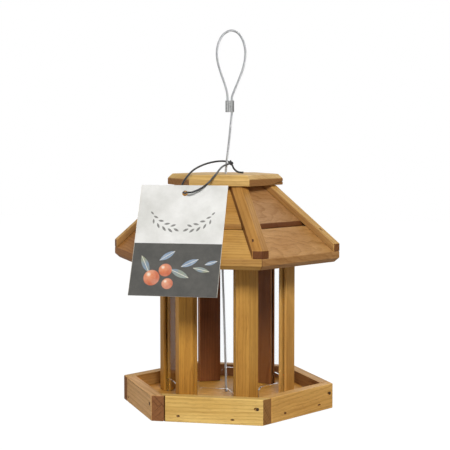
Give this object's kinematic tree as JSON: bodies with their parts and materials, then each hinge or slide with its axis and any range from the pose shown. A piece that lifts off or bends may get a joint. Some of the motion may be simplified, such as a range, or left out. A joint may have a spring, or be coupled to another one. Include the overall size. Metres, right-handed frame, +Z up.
{
  "type": "hanging bird feeder",
  "caption": "Hexagonal timber bird feeder: railed tray, clear-sided seed hopper on posts, and a boarded roof that slides up its steel hanging wire. A blank tag hangs on a cord.",
  "frame": {"origin": "centre of the tray, on the plane that the rails stand on", "axes": "+Z up along the hanging wire, the front side of the tray faces -Y, and +X is the right-hand corner seen from the front"},
  "size_m": [0.2522, 0.2424, 0.4088],
  "materials": {
    "timber": "oiled honey-brown softwood, satin",
    "hidden_timber": "dark oiled softwood, matt",
    "clear_panel": "clear, smooth",
    "steel": "plain zinc-plated",
    "wire": "stranded, galvanised",
    "ferrule": "pressed, dull",
    "card": "coated, with a plain grey lower part",
    "cord": "black, slightly shiny"
  },
  "bodies": {
    "tray": {"tray_floor": "timber", "rail_front": "timber", "rail_right_front": "timber", "rail_right_back": "timber", "rail_back": "timber", "rail_left_back": "timber", "rail_left_front": "timber", "rail_nail_front": "steel", "rail_nail_right_front": "steel", "rail_nail_right_back": "steel", "rail_nail_back": "steel", "rail_nail_left_back": "steel", "rail_nail_left_front": "steel", "post_front_right": "timber", "post_right": "timber", "post_back_right": "timber", "post_back_left": "timber", "post_left": "timber", "post_front_left": "timber", "post_screw_front_right": "steel", "post_screw_right": "steel", "post_screw_back_right": "steel", "post_screw_back_left": "steel", "post_screw_left": "steel", "post_screw_front_left": "steel", "panel_front": "clear_panel", "panel_right_front": "clear_panel", "panel_right_back": "clear_panel", "panel_back": "clear_panel", "panel_left_back": "clear_panel", "panel_left_front": "clear_panel", "post_ring": "hidden_timber", "stop_washer": "steel"},
    "roof": {"roof_board_lower_front": "timber", "roof_board_lower_right_front": "timber", "roof_board_lower_right_back": "timber", "roof_board_lower_back": "timber", "roof_board_lower_left_back": "timber", "roof_board_lower_left_front": "timber", "roof_board_upper_front": "timber", "roof_board_upper_right_front": "timber", "roof_board_upper_right_back": "timber", "roof_board_upper_back": "timber", "roof_board_upper_left_back": "timber", "roof_board_upper_left_front": "timber", "hip_batten_front_right": "timber", "hip_batten_right": "timber", "hip_batten_back_right": "timber", "hip_batten_back_left": "timber", "hip_batten_left": "timber", "hip_batten_front_left": "timber", "roof_block": "hidden_timber", "roof_cap": "timber", "tag_cord": "cord", "tag_cord_tail": "cord", "tag_cord_knot": "cord"},
    "wire": {"hanging_wire": "wire", "loop_ferrule": "ferrule", "stop_ferrule": "ferrule"},
    "tag": {"tag_card": "card"}
  },
  "joints": [
    {"name": "roof_lift", "type": "slide", "parent": "tray", "child": "roof", "axis": [0, 0, 1], "range_m": [0, 0.05], "deforming": ["hanging_wire"]},
    {"name": "wire_swivel", "type": "hinge", "parent": "tray", "child": "wire", "pos_m": [0, 0, 0.007], "axis": [0, 0, 1], "continuous": true},
    {"name": "tag_swing", "type": "hinge", "parent": "roof", "child": "tag", "pos_m": [-0.0269, -0.08099, 0.23509], "axis": [-1, 0, 0], "range_deg": [0, 30]}
  ]
}
